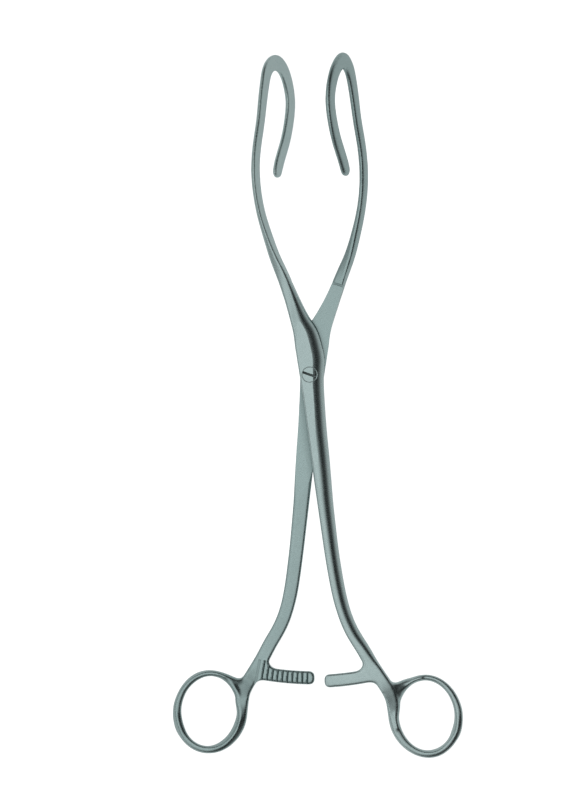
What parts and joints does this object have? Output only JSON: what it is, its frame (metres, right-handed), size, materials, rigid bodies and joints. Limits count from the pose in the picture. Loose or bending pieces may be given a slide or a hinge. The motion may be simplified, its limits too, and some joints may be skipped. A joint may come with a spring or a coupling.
{
  "type": "kidney elevating forceps",
  "caption": "Ring-handled lap-joint forceps with a ratchet and two open oval jaws, turned sideways, for lifting a kidney.",
  "frame": {"origin": "on the pivot axis, at the centre of the joint screw's head, level with the upper arm's front face", "axes": "+Y along the instrument towards the jaws, +Z along the pivot out of the screw's slotted head, +X to the right with the screw head facing the viewer and the jaws up"},
  "size_m": [0.1023, 0.2498, 0.0416],
  "materials": {
    "arm_steel": "satin, fine matt brushing",
    "screw_steel": "satin, ground flush"
  },
  "bodies": {
    "lower_half": {"lower_arm": "arm_steel", "joint_screw": "screw_steel"},
    "upper_half": {"upper_arm": "arm_steel"}
  },
  "joints": [
    {"name": "jaw_pivot", "type": "hinge", "parent": "lower_half", "child": "upper_half", "pos_m": [0, 0, -0.0038], "axis": [0, 0, 1], "range_deg": [-9.4, 25]}
  ]
}
